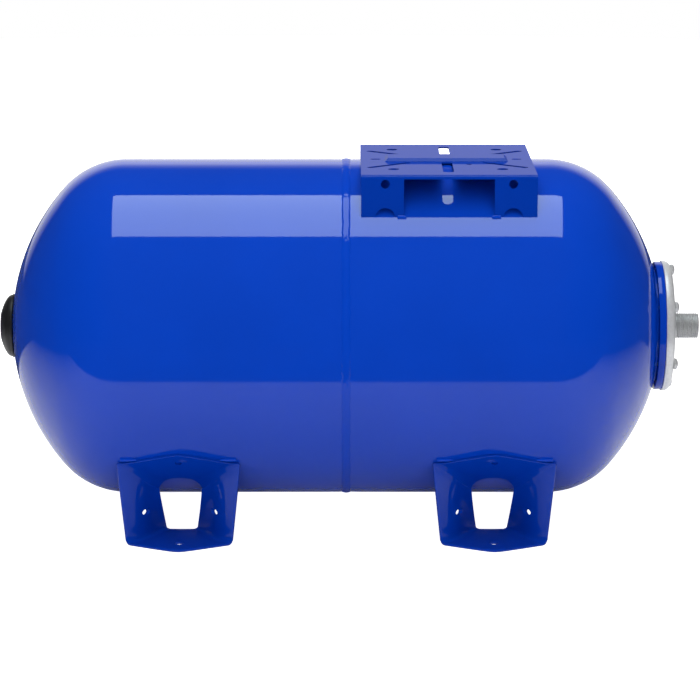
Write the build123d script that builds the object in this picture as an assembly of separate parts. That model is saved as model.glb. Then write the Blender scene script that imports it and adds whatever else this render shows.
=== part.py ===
from build123d import *
import math
import os

# Horizontal pressure vessel with a replaceable bladder, four pressed feet, a pump
# bracket on top, a bolted water flange at +X and an air valve under a cap at -X.
# Millimetres. X runs along the tank axis, the floor is Z = 0, and the origin is the
# middle of the four floor-bolt holes.

os.makedirs("parts", exist_ok=True)

# ---- tank -------------------------------------------------------------------
AXIS_Z = 248.0
SHELL_R = 215.0
SHELL_WALL = 1.5
CYL_HALF = 270.1
CROWN_R = 270.0
KNUCKLE_R = 107.0
APEX_X = 418.0
SEAM_X = 12.0
JOGGLE_LENGTH = 10.0
JOGGLE_GAP = 0.1
WELD_WIDTH = 11.0
WELD_HEIGHT = 1.6
LUMP_R = 5.0
LUMP_HEIGHT = 3.0

# ---- water end --------------------------------------------------------------
NECK_OPENING_R = 80.0
COLLAR_RIM_R = 78.0
COLLAR_FLOOR_X = 399.0
COLLAR_SHEET = 2.5
COLLAR_TUBE_R = 72.0
RING_X = 409.0
RING_FACE_X = 418.0
RING_R = 82.5
RING_BORE_R = 62.0
FLANGE_FACE_X = 429.4
FLANGE_R = 84.0
FLANGE_SHEET = 3.0
FLANGE_CORNER_R = 7.0
BOLT_CIRCLE_R = 73.5
BOLT_COUNT = 6
BOLT_R = 4.0
BOLT_HOLE_R = 4.5
BOLT_HEAD_AF = 13.0
BOLT_HEAD_H = 5.3
HUB_R = 20.2
HUB_END_X = 437.0
NIPPLE_END_X = 466.5
NIPPLE_R = 16.62
NIPPLE_BORE_R = 12.5
NIPPLE_NECK_R = 14.0
NIPPLE_LIP_R = 24.0
NIPPLE_LIP_H = 3.0

# ---- bladder ----------------------------------------------------------------
BLADDER_R = 165.0
BLADDER_WALL = 3.0
BLADDER_NECK_R = 61.5
BLADDER_LIP_R = 68.0
BLADDER_END_X = -330.0

# ---- air valve end ----------------------------------------------------------
BOSS_R = 16.0
BOSS_FACE_X = -419.5
BOSS_BACK_X = -408.0
VALVE_THREAD_R = 6.58
VALVE_HEX_AF = 12.0
VALVE_HEX_H = 2.5
STEM_R = 3.85
STEM_TIP_X = -427.1
CORE_BORE_R = 2.5
CORE_R = 2.45
CORE_INNER_R = 1.2
CORE_TIP_X = -426.6
CORE_BACK_X = -415.5
PIN_R = 0.5
PIN_TIP_X = -426.4
POPPET_R = 1.9
CAP_SEAL_H = 0.4
CAP_R = 5.4
CAP_BORE_R = 3.9
CAP_TOP = 1.0
CAP_SKIRT_X = -422.3
COVER_RIM_R = 41.0
COVER_RIM_X = -415.7
COVER_FACE_X = -433.2
COVER_FACE_R = 17.0
COVER_WALL = 1.8
COVER_MID_R = 30.0
COVER_RIM_STEP = 3.0
COVER_RIM_WALL = 2.5
SLEEVE_BORE_R = 16.06
SLEEVE_WALL = 1.7

# ---- feet -------------------------------------------------------------------
FOOT_X = 197.5
FOOT_SHEET = 3.0
FOOT_CORNER_Y = 164.0
FOOT_TIP_Y = 199.0
FOOT_WINDOW_Y = 97.0
FOOT_BASE_HALF = 66.5
FOOT_TOP_HALF = 77.5
WINDOW_BASE_HALF = 22.0
WINDOW_TOP_HALF = 27.0
RIM_WIDTH = 13.0
RIM_STEP = 9.0
RIM_TIP_SHIFT = 1.5
RIM_BEND_X = 2.6
RIM_BEND_Y = 1.6
WALL_ALONG_X = 3.4
TIP_HALF = 14.0
SOLE_STEP_X = 4.0
SOLE_STEP_Y = 8.0
SADDLE_TIP_Y = 175.5
SADDLE_INNER_Y = 128.0
SADDLE_ARCH_Y = 144.0
SADDLE_HORN_X = 45.0
SADDLE_STEP_X = 6.0
SADDLE_STEP_Y = 10.0
SADDLE_HOLE_Y = 163.0
FLOOR_HOLE_Y = 165.0
FLOOR_HOLE_R = 6.0
SIDE_HOLE_R = 4.0
SIDE_HOLE_Y = 140.0
SIDE_HOLE_Z = 36.0
FOOT_WELD_R = 3.0
FOOT_WELD_LENGTH = 22.0
FOOT_WELD_IN = 16.0
FOOT_WELD_OUT = 2.2

# ---- pump bracket -----------------------------------------------------------
BRACKET_X = 139.5
BRACKET_HALF_X = 109.0
BRACKET_HALF_Y = 138.0
BRACKET_TOP = 217.0
BRACKET_SHEET = 2.0
BRACKET_BEND_R = 5.0
CUTOUT_HALF = 56.0
CUTOUT_DROP = 5.0
LEG_HOLE_X = 79.0
LEG_HOLE_R = 5.5
LEG_HOLE_DROP = 11.0
NOTCH_R = 12.0
NOTCH_DROP = 53.0
RIB_HALF_X = 78.0
RIB_HALF_Y = 21.5
RIB_HEIGHT = 4.0
PLATE_HOLE_X = 68.0
PLATE_HOLE_Y = 86.0
PLATE_HOLE_R = 7.0
CENTRE_SLOT_W = 13.5
CENTRE_SLOT_IN = 27.0
CENTRE_SLOT_OUT = 112.0
DIAGONAL_OUT = (100.0, 74.0)
DIAGONAL_IN = (47.0, 9.0)
DIAGONAL_W = 8.5
OBLONG_X = 90.0
OBLONG_LENGTH = 13.0
OBLONG_W = 7.0
DRAIN_X = 28.0
DRAIN_Y = -45.0
DRAIN_R = 3.5
BRACKET_LOW = 150.0
CUTOUT_IN = 120.0
BRACKET_WELD_R = 2.6
BRACKET_WELD_LENGTH = 11.0
BRACKET_WELD_X = 20.5
THROUGH = 20.0

AXIS = Axis((0, 0, AXIS_Z), (1, 0, 0))


def save(shape, node):
    """Names a sub-part and writes it to its own STEP file."""
    shape.label = node
    export_step(shape, f"parts/{node}.step")


def spin(edges):
    """Turns a closed outline in (x, radius) about the tank axis."""
    face = Plane.XZ * make_face(edges)
    return revolve(Pos(0, 0, AXIS_Z) * face, AXIS, 360)


def spin_points(*points):
    """Turns a straight-sided outline in (x, radius) about the tank axis."""
    return spin(Polyline(*points, close=True))


def rod(radius, x0, x1, y=0.0, z=AXIS_Z):
    """A round bar along X from x0 to x1."""
    return Pos((x0 + x1) / 2, y, z) * Rot(0, 90, 0) * Cylinder(radius, abs(x1 - x0))


def hexagon(across_flats, x0, x1, y=0.0, z=AXIS_Z):
    """A hexagonal bar along X from x0 to x1."""
    outline = RegularPolygon(across_flats / 2, 6, major_radius=False)
    return extrude(Pos(x0, y, z) * Rot(0, 90, 0) * outline, x1 - x0)


def bar_between(x0, x1, y0, y1, z0, z1):
    """A block given by its two corners."""
    centre = Pos((x0 + x1) / 2, (y0 + y1) / 2, (z0 + z1) / 2)
    return centre * Box(abs(x1 - x0), abs(y1 - y0), abs(z1 - z0))


def crown_x(radius, inset=0.0):
    """X of the +X head's spherical crown at a radius, inset from its outer face."""
    ball = CROWN_R - inset
    return APEX_X - CROWN_R + math.sqrt(ball**2 - radius**2)


def half_profile(side, joint_x, opening_r, inset):
    """Points and arcs of a half shell's wall face, from the joint to the opening."""
    crown = Vector(APEX_X - CROWN_R, 0)
    knuckle = Vector(CYL_HALF, SHELL_R - KNUCKLE_R)
    blend = (knuckle - crown).normalized()
    half_turn = math.radians(90 - math.degrees(math.atan2(blend.Y, blend.X))) / 2
    knuckle_r = KNUCKLE_R - inset
    ball = CROWN_R - inset
    mid = knuckle + Vector(math.sin(half_turn), math.cos(half_turn)) * knuckle_r
    tangent = crown + blend * ball
    end = Vector(crown_x(opening_r, inset), opening_r)
    middle = (math.atan2(tangent.Y, tangent.X - crown.X) + math.asin(opening_r / ball)) / 2
    bulge = crown + Vector(math.cos(middle), math.sin(middle)) * ball
    start = Vector(joint_x * side, SHELL_R - inset)
    corner = Vector(CYL_HALF, SHELL_R - inset)
    return [Vector(p.X * side, p.Y) for p in (start, corner, mid, tangent, bulge, end)]


def shell_half(side, opening_r):
    """One drawn half of the tank: cylinder, knuckle and crown with a round opening."""
    outer = half_profile(side, SEAM_X, opening_r, 0.0)
    inner = half_profile(side, SEAM_X, opening_r, SHELL_WALL)
    edges = [
        Line(outer[0], outer[1]),
        ThreePointArc(outer[1], outer[2], outer[3]),
        ThreePointArc(outer[3], outer[4], outer[5]),
        Line(outer[5], inner[5]),
        ThreePointArc(inner[5], inner[4], inner[3]),
        ThreePointArc(inner[3], inner[2], inner[1]),
        Line(inner[1], inner[0]),
        Line(inner[0], outer[0]),
    ]
    return spin(edges)


def joggle_lip():
    """Lip of the left half that slips inside the right half under the weld."""
    outer = SHELL_R - SHELL_WALL - JOGGLE_GAP
    inner = outer - SHELL_WALL
    back = SEAM_X - JOGGLE_LENGTH
    return spin_points(
        (back, SHELL_R - SHELL_WALL),
        (SEAM_X, SHELL_R - SHELL_WALL),
        (SEAM_X, outer),
        (SEAM_X + JOGGLE_LENGTH, outer),
        (SEAM_X + JOGGLE_LENGTH, inner),
        (SEAM_X, inner),
    )


def seam_weld():
    """Low crowned bead round the tank, with the lump where the weld ends below."""
    half = WELD_WIDTH / 2
    left = (SEAM_X - half, SHELL_R)
    top = (SEAM_X, SHELL_R + WELD_HEIGHT)
    right = (SEAM_X + half, SHELL_R)
    bead = spin([ThreePointArc(left, top, right), Line(right, left)])
    lump = Pos(SEAM_X - LUMP_R, 0, AXIS_Z - SHELL_R + LUMP_R - LUMP_HEIGHT) * Sphere(LUMP_R)
    return Compound(children=[bead, lump - tank_body() - bead])


def tank_body():
    """The cylinder that whatever is welded to the tank is trimmed against."""
    return rod(SHELL_R, -CYL_HALF, CYL_HALF)


def around(shape, count=BOLT_COUNT):
    """The same shape at equal steps round the tank axis, first one at the top."""
    return [shape.rotate(AXIS, 360 / count * i) for i in range(count)]


def bolt_hole(radius, x0, x1):
    """One clearance hole on the bolt circle."""
    return rod(radius, x0, x1, z=AXIS_Z + BOLT_CIRCLE_R)


def make_tank():
    save(shell_half(-1, BOSS_R) + joggle_lip(), "tank_shell_left")
    save(shell_half(1, NECK_OPENING_R), "tank_shell_right")
    save(seam_weld(), "seam_weld")


def make_water_end():
    rim_x = crown_x(NECK_OPENING_R) - 0.2
    floor = COLLAR_FLOOR_X + COLLAR_SHEET
    tube_bore = COLLAR_TUBE_R - COLLAR_SHEET
    collar = spin_points(
        (COLLAR_FLOOR_X, tube_bore),
        (RING_X, tube_bore),
        (RING_X, COLLAR_TUBE_R),
        (floor, COLLAR_TUBE_R),
        (floor, COLLAR_RIM_R),
        (rim_x, COLLAR_RIM_R),
        (rim_x, NECK_OPENING_R),
        (COLLAR_FLOOR_X, NECK_OPENING_R),
    )
    save(collar, "neck_collar")

    ring = rod(RING_R, RING_X, RING_FACE_X) - rod(RING_BORE_R, RING_X, RING_FACE_X)
    ring = chamfer(ring.edges().filter_by(GeomType.CIRCLE).sort_by(SortBy.RADIUS)[-2:], 0.8)
    for hole in around(bolt_hole(BOLT_R + 0.02, RING_X - 1, RING_FACE_X + 1)):
        ring -= hole
    save(ring, "counter_flange")

    plate_back = FLANGE_FACE_X - FLANGE_SHEET
    pan = rod(FLANGE_R, RING_FACE_X, FLANGE_FACE_X)
    pan = fillet(pan.edges().sort_by(Axis.X)[-1], FLANGE_CORNER_R)
    hollow = rod(FLANGE_R - FLANGE_SHEET, RING_FACE_X - 1, plate_back)
    hollow = fillet(hollow.edges().sort_by(Axis.X)[-1], FLANGE_CORNER_R - FLANGE_SHEET)
    pan = pan - hollow - rod(NIPPLE_NECK_R, plate_back - 1, FLANGE_FACE_X + 1)
    for hole in around(bolt_hole(BOLT_HOLE_R, plate_back - 1, FLANGE_FACE_X + 1)):
        pan -= hole
    save(pan, "flange_plate")

    nipple = rod(NIPPLE_LIP_R, plate_back - NIPPLE_LIP_H, plate_back)
    nipple += rod(NIPPLE_NECK_R, plate_back, FLANGE_FACE_X)
    nipple += rod(HUB_R, FLANGE_FACE_X, HUB_END_X)
    thread = rod(NIPPLE_R, HUB_END_X, NIPPLE_END_X)
    nipple += chamfer(thread.edges().sort_by(Axis.X)[-1], 1.4)
    nipple -= rod(NIPPLE_BORE_R, plate_back - NIPPLE_LIP_H - 1, NIPPLE_END_X + 1)
    save(nipple, "water_nipple")

    head = hexagon(BOLT_HEAD_AF, FLANGE_FACE_X, FLANGE_FACE_X + BOLT_HEAD_H, z=AXIS_Z + BOLT_CIRCLE_R)
    bolt = head + bolt_hole(BOLT_R, RING_X + 0.5, FLANGE_FACE_X)
    save(Compound(children=around(bolt)), "flange_bolts")


def bladder_bag(inset, mouth_x):
    """Solid of the rubber bag without its lip, inset from its outer face."""
    neck = BLADDER_NECK_R - inset
    belly = BLADDER_R - inset
    end = BLADDER_END_X + inset
    side = FilletPolyline(
        (mouth_x, neck),
        (384, neck),
        (300, belly),
        (-225, belly),
        (end, 60),
        (end, 0),
        radius=[30, 60, 80, 50],
    )
    return spin([side, Line((end, 0), (mouth_x, 0)), Line((mouth_x, 0), (mouth_x, neck))])


def make_bladder():
    plate_back = FLANGE_FACE_X - FLANGE_SHEET
    bag = bladder_bag(0.0, RING_FACE_X) + rod(BLADDER_LIP_R, RING_FACE_X, plate_back)
    save(bag - bladder_bag(BLADDER_WALL, FLANGE_FACE_X), "bladder")


def make_air_valve():
    boss = rod(BOSS_R, BOSS_FACE_X, BOSS_BACK_X)
    boss = chamfer(boss.edges().sort_by(Axis.X)[0], 0.4)
    save(boss - rod(VALVE_THREAD_R + 0.02, BOSS_FACE_X - 1, BOSS_BACK_X + 1), "valve_boss")

    hex_x = BOSS_FACE_X - VALVE_HEX_H
    body = hexagon(VALVE_HEX_AF, hex_x, BOSS_FACE_X)
    body += rod(VALVE_THREAD_R, BOSS_FACE_X, BOSS_BACK_X - 1)
    stem = rod(STEM_R, STEM_TIP_X, hex_x)
    body += chamfer(stem.edges().sort_by(Axis.X)[0], 0.3)
    save(body - rod(CORE_BORE_R, STEM_TIP_X - 1, BOSS_BACK_X + 1), "valve_body")

    barrel = rod(CORE_R, CORE_TIP_X, CORE_BACK_X)
    stop = rod(CORE_INNER_R, CORE_TIP_X + 1.2, CORE_BACK_X - 1.2)
    barrel = barrel - stop - rod(PIN_R + 0.1, CORE_TIP_X - 1, CORE_BACK_X + 1)
    save(barrel, "valve_core")

    seal_x = CORE_BACK_X + 0.05
    pin = rod(PIN_R, PIN_TIP_X, seal_x + 1.4) + rod(POPPET_R, seal_x + 0.5, seal_x + 1.4)
    pin += rod(0.95, CORE_TIP_X + 4.2, CORE_TIP_X + 4.8)
    save(pin, "valve_pin")
    save(rod(POPPET_R, seal_x, seal_x + 0.5) - rod(PIN_R, seal_x - 1, seal_x + 1), "valve_core_seal")

    wire = Helix(pitch=0.85, height=4.8, radius=0.84)
    spring = sweep(Plane(wire @ 0, z_dir=wire % 0) * Circle(0.13), path=wire, is_frenet=True)
    spring_x = CORE_TIP_X + 5.0
    save(Pos(spring_x, 0, AXIS_Z) * Rot(0, 90, 0) * spring, "valve_core_spring")

    seal_top = STEM_TIP_X - CAP_SEAL_H
    seal = rod(CAP_BORE_R - 0.1, seal_top, STEM_TIP_X)
    save(seal, "dust_cap_seal")

    cap = rod(CAP_R, seal_top - CAP_TOP, CAP_SKIRT_X)
    cap = chamfer(cap.edges().sort_by(Axis.X)[0], 0.5)
    cap -= rod(CAP_BORE_R, seal_top, CAP_SKIRT_X + 1)
    for groove in around(rod(0.45, seal_top, CAP_SKIRT_X + 1, z=AXIS_Z + CAP_R), 18):
        cap -= groove
    save(cap, "dust_cap")


def make_valve_cover():
    """Black dome that pushes over the boss and hides the air valve."""
    rise = COVER_RIM_X - COVER_FACE_X
    face_in = COVER_FACE_X + COVER_WALL
    lip_x = COVER_RIM_X - COVER_RIM_STEP
    lip_r = COVER_RIM_R - COVER_RIM_WALL
    outer_mid = (COVER_FACE_X + rise / 3, COVER_MID_R)
    inner_mid = (face_in + rise / 3, COVER_MID_R - COVER_WALL)
    edges = [
        Line((COVER_FACE_X, 0), (COVER_FACE_X, COVER_FACE_R)),
        ThreePointArc((COVER_FACE_X, COVER_FACE_R), outer_mid, (lip_x, COVER_RIM_R)),
        Line((lip_x, COVER_RIM_R), (COVER_RIM_X, COVER_RIM_R)),
        Line((COVER_RIM_X, COVER_RIM_R), (COVER_RIM_X, lip_r)),
        Line((COVER_RIM_X, lip_r), (lip_x, lip_r)),
        ThreePointArc((lip_x, lip_r), inner_mid, (face_in, COVER_FACE_R)),
        Line((face_in, COVER_FACE_R), (face_in, 0)),
        Line((face_in, 0), (COVER_FACE_X, 0)),
    ]
    dome = spin(edges)
    sleeve_x = -crown_x(BOSS_R) - 0.3
    sleeve = rod(SLEEVE_BORE_R + SLEEVE_WALL, face_in - 0.1, sleeve_x)
    save(dome + (sleeve - rod(SLEEVE_BORE_R, face_in, sleeve_x + 1)), "valve_cover")


def plan_strip(outer, inner):
    """Plan outline of a foot's +X side wall with its turned-out rim."""
    corner_x = outer - RIM_WIDTH
    corner_y = FOOT_CORNER_Y - RIM_STEP
    return Polyline(
        (inner, FOOT_WINDOW_Y),
        (corner_x, corner_y),
        (outer, FOOT_CORNER_Y - FOOT_SHEET),
        (outer - RIM_TIP_SHIFT, FOOT_CORNER_Y),
        (corner_x - RIM_BEND_X, corner_y + RIM_BEND_Y),
        (inner - WALL_ALONG_X, FOOT_WINDOW_Y),
        close=True,
    )


def foot():
    """One pressed foot below the tank at X = 0, opening towards +Y."""
    top_z = AXIS_Z - math.sqrt(SHELL_R**2 - FOOT_CORNER_Y**2)
    low = make_face(plan_strip(FOOT_BASE_HALF, WINDOW_BASE_HALF))
    high = Pos(0, 0, top_z) * make_face(plan_strip(FOOT_TOP_HALF, WINDOW_TOP_HALF))
    wall = loft([low, high], ruled=True)
    sole = make_face(Polyline(
        (-FOOT_BASE_HALF, FOOT_CORNER_Y),
        (-TIP_HALF, FOOT_TIP_Y),
        (TIP_HALF, FOOT_TIP_Y),
        (FOOT_BASE_HALF, FOOT_CORNER_Y),
        (FOOT_BASE_HALF - SOLE_STEP_X, FOOT_CORNER_Y - SOLE_STEP_Y),
        (WINDOW_BASE_HALF, FOOT_WINDOW_Y),
        (-WINDOW_BASE_HALF, FOOT_WINDOW_Y),
        (-FOOT_BASE_HALF + SOLE_STEP_X, FOOT_CORNER_Y - SOLE_STEP_Y),
        close=True,
    ))
    sole = extrude(sole, FOOT_SHEET)
    sole -= Pos(0, FLOOR_HOLE_Y, FOOT_SHEET) * Cylinder(FLOOR_HOLE_R, 3 * FOOT_SHEET)
    saddle_plan = make_face(Polyline(
        (-FOOT_TOP_HALF, FOOT_CORNER_Y + 1),
        (-TIP_HALF, SADDLE_TIP_Y),
        (TIP_HALF, SADDLE_TIP_Y),
        (FOOT_TOP_HALF, FOOT_CORNER_Y + 1),
        (FOOT_TOP_HALF - SADDLE_STEP_X, FOOT_CORNER_Y - SADDLE_STEP_Y),
        (SADDLE_HORN_X, SADDLE_INNER_Y),
        (0, SADDLE_ARCH_Y),
        (-SADDLE_HORN_X, SADDLE_INNER_Y),
        (-FOOT_TOP_HALF + SADDLE_STEP_X, FOOT_CORNER_Y - SADDLE_STEP_Y),
        close=True,
    ))
    skin = rod(SHELL_R + FOOT_SHEET, -FOOT_TOP_HALF, FOOT_TOP_HALF) - tank_body()
    saddle = extrude(saddle_plan, AXIS_Z) & skin
    hole_z = AXIS_Z - math.sqrt(SHELL_R**2 - SADDLE_HOLE_Y**2)
    outward = (0, SADDLE_HOLE_Y, hole_z - AXIS_Z)
    saddle -= Plane((0, SADDLE_HOLE_Y, hole_z), z_dir=outward) * Cylinder(SIDE_HOLE_R, THROUGH)
    walls = wall + mirror(wall, Plane.YZ)
    side_hole = Rot(0, 90, 0) * Cylinder(SIDE_HOLE_R, 2 * FOOT_TOP_HALF)
    walls -= Pos(0, SIDE_HOLE_Y, SIDE_HOLE_Z) * side_hole
    return (sole + saddle + walls) - tank_body()


def make_feet():
    rear = foot()
    front = mirror(rear, Plane.XZ)
    feet = []
    for end, side_x in (("left", -FOOT_X), ("right", FOOT_X)):
        save(Pos(side_x, 0, 0) * front, f"foot_front_{end}")
        save(Pos(side_x, 0, 0) * rear, f"foot_rear_{end}")
        feet += [Pos(side_x, 0, 0) * front, Pos(side_x, 0, 0) * rear]
    beads = []
    for side_x in (-FOOT_X, FOOT_X):
        for edge in (-1, 1):
            for face in (-1, 1):
                y = face * (FOOT_CORNER_Y + FOOT_WELD_OUT)
                z = AXIS_Z - math.sqrt(SHELL_R**2 - y**2)
                x = side_x + edge * (FOOT_TOP_HALF - FOOT_WELD_IN)
                bead = Pos(x, y, z) * Rot(0, 90, 0) * Cylinder(FOOT_WELD_R, FOOT_WELD_LENGTH)
                beads.append(bead - tank_body() - feet)
    save(Compound(children=beads), "foot_welds")


def bracket_shape():
    """Pressed pump bracket, centred on the tank axis before it is moved along X."""
    top = AXIS_Z + BRACKET_TOP
    foot_z = AXIS_Z + BRACKET_LOW
    block = bar_between(-BRACKET_HALF_X, BRACKET_HALF_X, -BRACKET_HALF_Y, BRACKET_HALF_Y, foot_z, top)
    bends = block.edges().filter_by(Axis.X).sort_by(Axis.Z)[-2:]
    block = fillet(bends, BRACKET_BEND_R)
    inside = bar_between(
        -BRACKET_HALF_X - 1,
        BRACKET_HALF_X + 1,
        -BRACKET_HALF_Y + BRACKET_SHEET,
        BRACKET_HALF_Y - BRACKET_SHEET,
        foot_z - 1,
        top - BRACKET_SHEET,
    )
    bends = inside.edges().filter_by(Axis.X).sort_by(Axis.Z)[-2:]
    shape = block - fillet(bends, BRACKET_BEND_R - BRACKET_SHEET)

    gap = bar_between(-CUTOUT_HALF, CUTOUT_HALF, -SHELL_R, SHELL_R, foot_z - 1, top - CUTOUT_DROP)
    shape -= gap - bar_between(-SHELL_R, SHELL_R, -CUTOUT_IN, CUTOUT_IN, foot_z - 2, top)

    rib_low = top - BRACKET_SHEET
    rib = bar_between(-RIB_HALF_X, RIB_HALF_X, -RIB_HALF_Y, RIB_HALF_Y, rib_low, top + RIB_HEIGHT)
    rib = chamfer(rib.faces().sort_by(Axis.Z)[-1].edges(), RIB_HEIGHT - 0.2)
    shape += rib
    shape -= Pos(0, 0, -BRACKET_SHEET) * rib

    for sx in (-1, 1):
        for sy in (-1, 1):
            hole = Pos(sx * LEG_HOLE_X, sy * BRACKET_HALF_Y, top - LEG_HOLE_DROP)
            shape -= hole * Rot(90, 0, 0) * Cylinder(LEG_HOLE_R, THROUGH)
            notch = Pos(sx * LEG_HOLE_X, sy * BRACKET_HALF_Y, top - NOTCH_DROP)
            shape -= notch * Rot(90, 0, 0) * Cylinder(NOTCH_R, THROUGH)
            shape -= Pos(sx * PLATE_HOLE_X, sy * PLATE_HOLE_Y, top) * Cylinder(PLATE_HOLE_R, THROUGH)
            dx = DIAGONAL_OUT[0] - DIAGONAL_IN[0]
            dy = DIAGONAL_OUT[1] - DIAGONAL_IN[1] - RIB_HALF_Y
            mid_x = (DIAGONAL_OUT[0] + DIAGONAL_IN[0]) / 2
            mid_y = (DIAGONAL_OUT[1] + DIAGONAL_IN[1] + RIB_HALF_Y) / 2
            turn = math.degrees(math.atan2(sy * dy, sx * dx))
            slot = SlotOverall(math.hypot(dx, dy), DIAGONAL_W)
            slot = extrude(Rot(0, 0, turn) * slot, THROUGH)
            shape -= Pos(sx * mid_x, sy * mid_y, top - THROUGH / 2) * slot
        oblong = extrude(SlotOverall(OBLONG_LENGTH, OBLONG_W), THROUGH)
        shape -= Pos(sx * OBLONG_X, 0, top - THROUGH / 2) * oblong
    for sy in (-1, 1):
        length = CENTRE_SLOT_OUT - CENTRE_SLOT_IN
        slot = extrude(Rot(0, 0, 90) * SlotOverall(length, CENTRE_SLOT_W), THROUGH)
        shape -= Pos(0, sy * (CENTRE_SLOT_OUT + CENTRE_SLOT_IN) / 2, top - THROUGH / 2) * slot
    shape -= Pos(DRAIN_X, DRAIN_Y, top) * Cylinder(DRAIN_R, THROUGH)
    return shape - tank_body()


def make_bracket():
    bracket = Pos(BRACKET_X, 0, 0) * bracket_shape()
    save(bracket, "pump_bracket")
    edge_z = AXIS_Z + math.sqrt(SHELL_R**2 - BRACKET_HALF_Y**2)
    beads = []
    for sy in (-1, 1):
        for sx in (-1, 1):
            for offset in (-BRACKET_WELD_X, BRACKET_WELD_X):
                x = BRACKET_X + sx * LEG_HOLE_X + offset
                place = Pos(x, sy * BRACKET_HALF_Y, edge_z) * Rot(0, 90, 0)
                bead = place * Cylinder(BRACKET_WELD_R, BRACKET_WELD_LENGTH)
                beads.append((bead - tank_body() - bracket).solids()[0])
    save(Compound(children=beads), "bracket_welds")


make_tank()
make_water_end()
make_bladder()
make_air_valve()
make_valve_cover()
make_feet()
make_bracket()
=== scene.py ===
"""Horizontal bladder expansion vessel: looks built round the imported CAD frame."""
import math

import bmesh
import bpy
from bpy.props import FloatProperty, FloatVectorProperty, IntProperty, PointerProperty
from mathutils import Matrix, Vector, noise


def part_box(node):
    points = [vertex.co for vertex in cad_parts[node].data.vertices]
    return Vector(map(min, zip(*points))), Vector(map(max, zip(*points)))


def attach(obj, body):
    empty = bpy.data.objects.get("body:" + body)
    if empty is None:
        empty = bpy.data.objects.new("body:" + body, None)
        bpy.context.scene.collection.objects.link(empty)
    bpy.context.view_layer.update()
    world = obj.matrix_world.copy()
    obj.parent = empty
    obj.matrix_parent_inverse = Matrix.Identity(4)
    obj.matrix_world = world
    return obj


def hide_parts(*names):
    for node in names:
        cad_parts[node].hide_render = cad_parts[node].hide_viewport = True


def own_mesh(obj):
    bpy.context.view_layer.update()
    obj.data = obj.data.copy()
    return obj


bl_info = {
    "name": "Bladder Vessel Builder",
    "version": (1, 0, 0),
    "blender": (4, 5, 0),
    "location": "3D View > Sidebar > Vessel",
    "description": "Builds the visible pieces of a horizontal bladder pressure vessel",
    "category": "Object",
}

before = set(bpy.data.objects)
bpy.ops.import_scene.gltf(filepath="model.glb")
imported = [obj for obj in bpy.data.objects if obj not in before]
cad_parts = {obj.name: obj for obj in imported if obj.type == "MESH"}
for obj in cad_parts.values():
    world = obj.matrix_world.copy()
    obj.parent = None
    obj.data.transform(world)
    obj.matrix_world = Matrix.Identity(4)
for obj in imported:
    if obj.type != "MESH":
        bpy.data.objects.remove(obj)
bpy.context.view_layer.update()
MM = 0.001

# ---- places taken from the frame ------------------------------------------------
RIGHT_LOW, RIGHT_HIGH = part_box("tank_shell_right")
AXIS_Z = (RIGHT_LOW.z + RIGHT_HIGH.z) / 2
SHELL_R = (RIGHT_HIGH.z - RIGHT_LOW.z) / 2
SEAM_X = RIGHT_LOW.x
FOOT_LOW, FOOT_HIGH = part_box("foot_front_left")
RING_LOW, RING_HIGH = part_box("counter_flange")
PLATE_LOW, PLATE_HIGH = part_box("flange_plate")
BOLTS_LOW, BOLTS_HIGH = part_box("flange_bolts")
NIPPLE_LOW, NIPPLE_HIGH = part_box("water_nipple")
COLLAR_LOW, COLLAR_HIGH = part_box("neck_collar")
COVER_LOW, COVER_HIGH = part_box("valve_cover")
AXIS_POINT = Vector((0, 0, AXIS_Z))

# ---- the drawn heads ------------------------------------------------------------
APEX_X = 418 * MM
CROWN_R = 270 * MM
KNUCKLE_R = 107 * MM
CYLINDER_END_X = 270.1 * MM
SHELL_WALL = 1.5 * MM
RINGS_NEAR_SEAM = (0, 2, 4, 7, 10, 14, 19, 26, 36)  # mm from the seam
SEAM_ZONE = RINGS_NEAR_SEAM[-1] * MM
DRAW_REACH = 13  # mm from the seam over which the weld's draw fades
COLLAR_OPENING_R = 80 * MM
BOSS_R = 16 * MM
BOLT_COUNT = 6
BOLT_CIRCLE_R = 73.5 * MM
BOLT_AF = 13 * MM
TAPPED_HOLE_R = 4.1 * MM
CLEAR_HOLE_R = 4.5 * MM
DRILL_PAST = 10 * MM
BOLT_HEAD_H = 5.3 * MM


# ================================ settings ======================================
class VesselPaint(bpy.types.PropertyGroup):
    """Colours and gloss of the vessel's finishes."""

    blue: FloatVectorProperty(
        name="Tank blue", description="Base colour of the gloss paint",
        subtype="COLOR", size=3, min=0, max=1, default=(0.001, 0.055, 0.56))
    roughness: FloatProperty(
        name="Paint roughness", description="Roughness under the clear coat",
        min=0, max=1, default=0.16, subtype="FACTOR")
    peel: FloatProperty(
        name="Orange peel", description="Height of the paint's fine ripple",
        min=0, max=1, default=0.06, subtype="FACTOR")
    zinc: FloatVectorProperty(
        name="Zinc", description="Base colour of the plated flange",
        subtype="COLOR", size=3, min=0, max=1, default=(0.80, 0.81, 0.83))
    black: FloatVectorProperty(
        name="Cover black", description="Base colour of the moulded cover",
        subtype="COLOR", size=3, min=0, max=1, default=(0.010, 0.010, 0.011))


class VesselShape(bpy.types.PropertyGroup):
    """Sizes of details that only the visible pieces have."""

    seam_ripple: FloatProperty(
        name="Weld ripple", description="How far the weld bead wanders",
        default=0.9 * MM, min=0, subtype="DISTANCE", unit="LENGTH")
    seam_pull: FloatProperty(
        name="Seam draw", description="How far the weld has drawn the shell in",
        default=0.25 * MM, min=0, subtype="DISTANCE", unit="LENGTH")
    thread_pitch: FloatProperty(
        name="Thread pitch", description="Pitch of the water thread",
        default=2.309 * MM, min=0.1 * MM, subtype="DISTANCE", unit="LENGTH")
    turns: IntProperty(
        name="Round steps", description="Faces round a large turned piece",
        default=192, min=24, max=360)


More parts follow.
